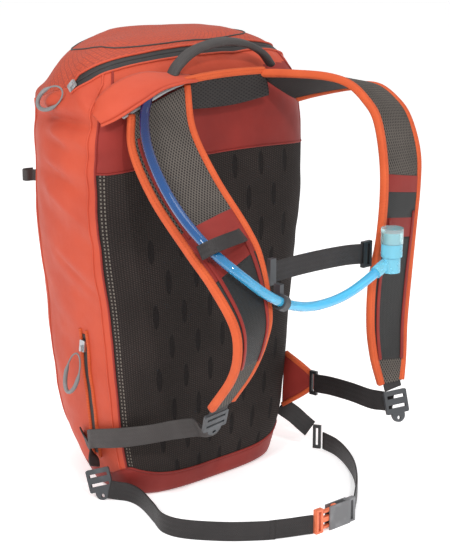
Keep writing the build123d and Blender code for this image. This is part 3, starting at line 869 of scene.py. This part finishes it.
# ---- shoulder straps -----------------------------------------------------------------------
class Strap:
    """A padded strap between two edges: places on it and the cloth pieces that cover it."""

    def __init__(self, edges, outward, body, slot, half_thick=3.7, count=130):
        self.body, self.slot = body, slot
        rail = even(smooth([(*a, *b) for a, b in edges]), count)
        self.inner, self.outer = rail[:, :3], rail[:, 3:]
        along = np.gradient((self.inner + self.outer) / 2, axis=0)
        normal = unit(np.cross(self.outer - self.inner, along))
        self.normal = normal if np.sum(normal @ np.array(outward)) > 0 else -normal
        self.half, self.count = half_thick, count
        self.length = np.sum(np.linalg.norm(np.diff((self.inner + self.outer) / 2, axis=0),
                                            axis=1))

    def at(self, s, t, lift=0.0, side=1):
        """Points at the fraction s along and t across, on the outer (1) or inner (-1) face."""
        where = np.asarray(s) * (self.count - 1)
        index = np.arange(self.count)

        def pick(rows):
            return np.stack([np.interp(where, index, rows[:, k]) for k in range(3)], axis=-1)
        inner, outer, normal = pick(self.inner), pick(self.outer), pick(self.normal)
        t = np.asarray(t)[..., None]
        crown = self.half * np.sqrt(np.clip(1 - np.abs(2 * t - 1) ** 3, 0, 1))
        return inner + (outer - inner) * t + normal * side * (crown + lift)

    def pad(self, name, front, back, node):
        """The padded body, with its own cloth on each face."""
        t = np.linspace(0.02, 0.98, 15)
        ring_t = np.concatenate([t, t[::-1]])
        ring_side = np.concatenate([np.ones(15), -np.ones(15)])[:, None]
        s = np.linspace(0, 1, self.count)
        rings = np.array([self.at(np.full(30, a), ring_t, 0.0, ring_side) for a in s])
        sides = 30
        verts = rings.reshape(-1, 3)
        faces, kinds = [], []
        for i in range(self.count - 1):
            for j in range(sides):
                k = (j + 1) % sides
                faces.append((i * sides + j, i * sides + k, (i + 1) * sides + k,
                              (i + 1) * sides + j))
                kinds.append(0 if j < 14 else 1)
        faces += [tuple(range(sides))[::-1], tuple((self.count - 1) * sides + j
                                                   for j in range(sides))]
        kinds += [1, 1]
        width = np.linalg.norm(self.outer - self.inner, axis=1)
        uvs = np.zeros((self.count, sides, 2))
        uvs[..., 0] = (ring_t - 0.5)[None, :] * width[:, None]
        uvs[..., 1] = s[:, None] * self.length
        piece = make_piece(name, self.body, front, verts, faces,
                           uvs.reshape(-1, 2) * MM)
        piece.data.materials.append(back)
        piece.data.polygons.foreach_set("material_index", kinds)
        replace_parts(piece, node)

    def patch(self, name, material, inner, outer):
        """A cloth panel sewn on a face; inner and outer are its runs along the two edges."""
        t = np.linspace(0.05, 0.95, 14)
        a = np.linspace(0, 1, 40)
        s = (inner[0] + (inner[1] - inner[0]) * a)[:, None] * (1 - t)[None] \
            + (outer[0] + (outer[1] - outer[0]) * a)[:, None] * t[None]
        grid = self.at(s, np.broadcast_to(t, s.shape), 0.5)
        grid_piece(name, self.body, material, grid, thick=0.7,
                   outward=self.at(0.5, 0.5, -60))

    def edging(self, name, material, t, run=(0, 1), half_width=3.7, half_thick=4.0, lift=None):
        """Binding folded over an edge, or a cord sewn along the face at t."""
        s = np.linspace(*run, max(12, int(self.count * (run[1] - run[0]))))
        across = self.at(s, np.ones_like(s)) - self.at(s, np.zeros_like(s))
        if lift is None:
            inset = 2.4 / np.linalg.norm(across, axis=1)
            t_run = inset if t == 0 else 1 - inset
            drop = -self.half * np.sqrt(1 - np.abs(2 * t_run - 1) ** 3)[:, None]
            curve = self.at(s, t_run, drop)
        else:
            curve = self.at(s, np.full_like(s, t), lift)
        tube_piece(name, self.body, material, curve, across, half_width, half_thick,
                   sides=18, square=3.2)


PADDING = ("harness", "strap_padding")
left = Strap(LEFT_STRAP, (0, -1, 0.3), *PADDING)
right = Strap(RIGHT_STRAP, (0.3, -1, 0.8), *PADDING)
for word, strap in (("left", left), ("right", right)):
    strap.pad(word + "_strap_pad", strap_mesh, under_mesh, word + "_shoulder_strap")
for word, strap in (("left", left), ("right", right)):
    strap.edging(word + "_strap_inner_binding", edge_tape, 0)
    strap.edging(word + "_strap_outer_binding", edge_tape, 1)
patches = [
    (left, "left_strap_red_band", brick_cloth, (0.405, 0.456), (0.43, 0.501)),
    (left, "left_strap_red_panel", brick_cloth, (0.455, 0.545), (0.50, 0.58)),
    (left, "left_strap_pocket", stretch_cloth, (0.545, 0.84), (0.58, 0.84)),
    (right, "right_strap_red_band", brick_cloth, (0.475, 0.515), (0.50, 0.54)),
    (right, "right_strap_label_band", stretch_cloth, (0.515, 0.575), (0.54, 0.60)),
    (right, "right_strap_red_panel", brick_cloth, (0.575, 0.62), (0.60, 0.645)),
    (right, "right_strap_pocket", stretch_cloth, (0.62, 0.93), (0.645, 0.93)),
]
for strap, name, material, inner, outer in patches:
    strap.patch(name, material, inner, outer)
left.edging("left_strap_face_cord", brick_cloth, 0.86, (0.1, 0.45), 1.4, 1.0, 0.4)
for word, strap, run in (("left", left, (0.5, 0.84)), ("right", right, (0.58, 0.93))):
    for edge, t in (("inner", 0.16), ("outer", 0.84)):
        strap.edging(f"{word}_pocket_{edge}_edge", brick_cloth, t, run, 2.0, 0.9, 1.1)

yoke = Strap([((-56, -87, 433), (-54, -87, 402)), ((-22, -88, 435), (-22, -86, 400)),
              ((15, -88, 435), (15, -86, 400)), ((50, -86, 433), (58, -86, 404))], (0, -1, 0),
             *PADDING, 3.2, 60)
yoke.pad("shoulder_yoke_pad", under_mesh, under_mesh, "shoulder_yoke")
yoke.edging("shoulder_yoke_binding", edge_tape, 0)

# ---- handle, pulls and webbing -------------------------------------------------------------
arch = even(smooth([(-64, -78, 434), (-54, -77, 445), (-32, -75.5, 456.5), (2, -75.5, 462),
                    (34, -75.5, 458), (58, -76, 447), (70, -77, 434)]), 70)
haul = tube_piece("haul_loop_webbing", "handle", grey_webbing, arch,
                  np.tile((0, 1.0, 0.25), (70, 1)), 6.6, 3.6, sides=20, square=2.6)
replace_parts(haul, "haul_loop")


def pull_loop(name, body, node, start, along, facing, length, width):
    """A cord loop whose far half is a thick moulded grip."""
    along, facing = Vector(along).normalized(), Vector(facing).normalized()
    side = along.cross(facing)
    turn = np.linspace(0, 2 * math.pi, 73)
    curve = np.array([Vector(start) + along * (length / 2) * (1 - math.cos(a))
                      + side * (width / 2) * math.sin(a) for a in turn])
    grip = np.clip((-np.cos(turn) + 0.25) * 3, 0, 1)
    loop = tube_piece(name, body, pull_rubber, curve,
                      np.tile(facing, (73, 1)), 0.9 + 1.5 * grip, 0.9 + 1.1 * grip, sides=12)
    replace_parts(loop, node)


pull_loop("top_pull_loop", "top_pull", "top_zip_pull", (-143.5, -9, 421.5), (-0.11, 0.88, -0.47),
          (-1, -0.13, 0), 39, 19)
pull_loop("side_pull_loop", "side_pull", "side_zip_pull", (-133.2, -9, 152), (-0.086, 0.3, -0.95),
          (-1, 0, 0.09), 45, 20)

straps = [
    ("gear_loop_band", "bag", "gear_loop", grey_webbing,
     [(-102, 92, 317), (-106, 97, 317), (-112, 99, 317), (-113, 104, 317), (-109, 107, 317),
      (-100, 105, 317)], (0, 0, 1), 12, 1.6),
    ("left_tip_band", "harness", "left_tip_webbing", black_webbing,
     [(-108, -198, 143), (-107.5, -194.5, 138), (-106.6, -191, 133.4)], (-0.95, 0.2, -0.2),
     20, 1.8),
    ("right_tip_band", "harness", "right_tip_webbing", black_webbing,
     [(105, -221.5, 124), (105.2, -222.5, 118.5), (105.8, -223.6, 114.2)], (0.95, -0.3, 0.05),
     20, 1.8),
    ("hip_tab_band", "bag", "hip_tab", black_webbing,
     [(-116, 10, 59), (-119.5, 0, 54), (-121.5, -14, 44), (-125.2, -23, 32)], (-0.1, 0.5, 0.85),
     14, 1.8),
    ("hip_right_band", "bag", "hip_right_webbing", black_webbing,
     [(x, y, 10.2) for x, y in HIP_RIGHT], (0, 0, 1), 20, 1.8),
    ("hip_anchor_band", "bag", "hip_anchor_webbing", black_webbing,
     [(112, -54, 49), (115.5, -59, 45), (122, -66, 38), (128, -72, 30), (134.5, -78, 22)],
     (0.45, 0.2, 0.87), 20, 1.8),
    ("sternum_band", "harness", "sternum_webbing", black_webbing,
     [(-69, -226, 270), (-36, -226.6, 271), (0, -226.4, 270.4), (32, -224, 268), (56, -223, 265)],
     (0, 0, 1), 20, 1.8),
    ("hose_keeper_band", "harness", "hose_keeper", black_webbing,
     [(-90, -208, 306), (-100, -213.5, 307), (-121, -218.8, 307), (-136, -217, 304),
      (-142.5, -207, 297)], (0.1, -0.7, -0.7), 14, 1.3),
]
for name, body, node, material, points, across, width, thick in straps:
    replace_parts(webbing(name, body, material, points, across, width, thick), node)

left_lower = webbing(
    "left_lower_band", None, grey_webbing,
    [(-124, -12, 58), (-125, -22, 62), (-122, -60, 73), (-106, -84, 79), (-86, -102, 84),
     (-80, -126, 92), (-87, -146, 98), (-97, -166, 106), (-101, -176, 112)],
    [(0, -0.3, 1), (0, -0.3, 1), (0.2, 0.1, 1), (0, 0, 1), (0, 0, 1), (-0.2, 0.1, 1),
     (-0.5, 0.2, 0.9), (-0.8, 0.2, 0.5), (-0.95, 0.2, -0.1)])
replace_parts(left_lower, "left_lower_webbing")
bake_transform(left_lower)
right_lower = webbing(
    "right_lower_band", None, black_webbing,
    [(120, -98, 85), (118, -106, 86), (110, -132, 92), (100, -170, 98), (97, -200, 99),
     (100, -216, 100), (106, -224, 99)],
    [(0.1, 0, 1), (0.1, 0, 1), (0.1, 0, 1), (0.1, 0, 1), (0.2, 0, 1), (0.6, 0, 0.8),
     (0.95, -0.2, 0.3)])
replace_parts(right_lower, "right_lower_webbing")
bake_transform(right_lower)
hip_left = webbing("hip_left_band", None, black_webbing,
                   [(-123, -43, 12), *((x, y, 10.2) for x, y in HIP_LEFT[:-1]),
                    (-63, -226.4, 10.2)], (0, 0, 1))
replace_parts(hip_left, "hip_left_webbing")
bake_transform(hip_left)
hip_tail = webbing("hip_tail_band", "plug", black_webbing,
                   [(x, y, 10.4) for x, y in HIP_TAIL], (0, 0, 1), 19.6, 2.4)
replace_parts(hip_tail, "hip_plug_tail")

wing = Strap([((117, -56, 112), (113, -56, 48)), ((121, -76, 102), (119.5, -76, 62)),
              ((124.5, -92, 92.5), (123, -92, 75))], (-1, 0, 0), "bag", "yoke_fabric",
             2.6, 40)
wing.pad("right_wing_cloth", brick_cloth, brick_cloth, "right_wing")
for edge, t in (("upper", 0), ("lower", 1)):
    wing.edging(f"right_wing_{edge}_binding", edge_tape, t, (0, 1), 2.6, 3.0)

# ---- soft pieces inside the bag ------------------------------------------------------------
def pocket_row(z):
    """One level of the open-topped sleeve: back edge, front, back edge."""
    slack = 1.5 * math.sin(math.pi * (z - 60) / 252)
    return even(smooth([(-75.5, -64.4, z), (-74.5, -46, z), (-60, -41 + slack, z),
                        (0, -41.5 + slack, z), (60, -41 + slack, z), (74.5, -46, z),
                        (75.5, -64.4, z)]), 60)


sleeve = grid_piece("hydration_sleeve_cloth", "bag", stretch_cloth,
                    np.array([pocket_row(z) for z in np.linspace(61, 311, 50)]), thick=0.9,
                    outward=(0, -60, 180))
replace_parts(sleeve, "hydration_sleeve")
sleeve_hem = pocket_row(311)
seam_cord("sleeve_hem", "bag", grey_webbing, sleeve_hem, 1.6)
t = np.linspace(-1, 1, 60)
pillow = tube_piece("reservoir_pillow", "bag", film,
                    np.column_stack([np.full(60, 21.0), np.full(60, -54.0), 175 + 98 * t]),
                    np.tile((1.0, 0, 0), (60, 1)), 50 * (1 - np.abs(t) ** 9 * 0.45),
                    0.8 + 5.6 * np.sqrt(1 - np.abs(t) ** 4), sides=40, square=2.3)
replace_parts(pillow, "reservoir")
hanger = webbing("reservoir_hanger_band", "bag", black_webbing,
                 [(21, -61.8, 371), (21, -61.9, 345), (21, -61.8, 315)], (1, 0, 0), 19, 1.4)
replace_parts(hanger, "reservoir_hanger_tab")

# ---- finishes of the CAD pieces that stay --------------------------------------------------
finishes = {
    alloy: ("top_zip_slider", "side_zip_slider"),
    grey_plastic: ("hip_buckle_socket", "hose_port"),
    slate_plastic: ("left_strap_lock", "right_strap_lock", "hip_lock", "hose_clip",
                    "sternum_plate"),
    black_plastic: ("right_wing_glide", "hip_right_glide", "sternum_adjuster"),
    orange_plastic: ("hip_buckle_plug", "plug_prong_upper", "plug_prong_lower"),
    valve_blue: ("valve_elbow", "bite_valve"), valve_cap: ("valve_cover",),
    valve_soft: ("valve_mouthpiece",),
    sheet_plastic: ("frame_sheet", "reservoir_fill_cap", "reservoir_port",
                    "reservoir_hanger_hook"),
    foam: ("back_foam",), hose_blue: ("inner_hose",),
}
for material, names in finishes.items():
    for node in names:
        for slot in nodes[node].material_slots:
            slot.material = material


# ---- floor, light --------------------------------------------------------------------------
def area_light(name, at, size, power, aim=(0, 0, 200)):
    data = bpy.data.lights.new(name, "AREA")
    data.shape = "DISK"
    data.size = size
    data.energy = power
    lamp = bpy.data.objects.new(name, data)
    lamp.location = Vector(at) * MM
    lamp.rotation_euler = (Vector(aim) * MM - lamp.location).to_track_quat("-Z", "Y").to_euler()
    bpy.context.scene.collection.objects.link(lamp)


floor_look = Look("studio_floor", (0.95, 0.95, 0.952), 0.9, Specular_IOR_Level=0.2)
floor_look.colour(floor_look.blend_colour(floor_look.noise(3, 2), (0.945, 0.945, 0.948),
                                          (0.955, 0.955, 0.957)))
floor_look.shader.inputs["Emission Color"].default_value = (1, 1, 1, 1)
floor_look.shader.inputs["Emission Strength"].default_value = 0.36
floor_mesh = bpy.data.meshes.new("floor")
floor_mesh.from_pydata([(-9, -9, 0), (9, -9, 0), (9, 9, 0), (-9, 9, 0)], [], [(0, 1, 2, 3)])
floor_mesh.materials.append(floor_look.material)
floor = bpy.data.objects.new("floor", floor_mesh)
bpy.context.scene.collection.objects.link(floor)

world = bpy.data.worlds.new("studio")
world.use_nodes = True
world.node_tree.nodes["Background"].inputs["Color"].default_value = (1, 1, 1, 1)
world.node_tree.nodes["Background"].inputs["Strength"].default_value = 0.66
bpy.context.scene.world = world
area_light("key", (-1700, -500, 1500), 0.8, 18)
area_light("fill", (300, -1700, 900), 1.4, 5)
area_light("streak", (-700, -1500, 1500), 0.12, 11)
area_light("top", (100, 300, 2000), 1.4, 9)
bpy.context.scene.view_settings.view_transform = "Standard"
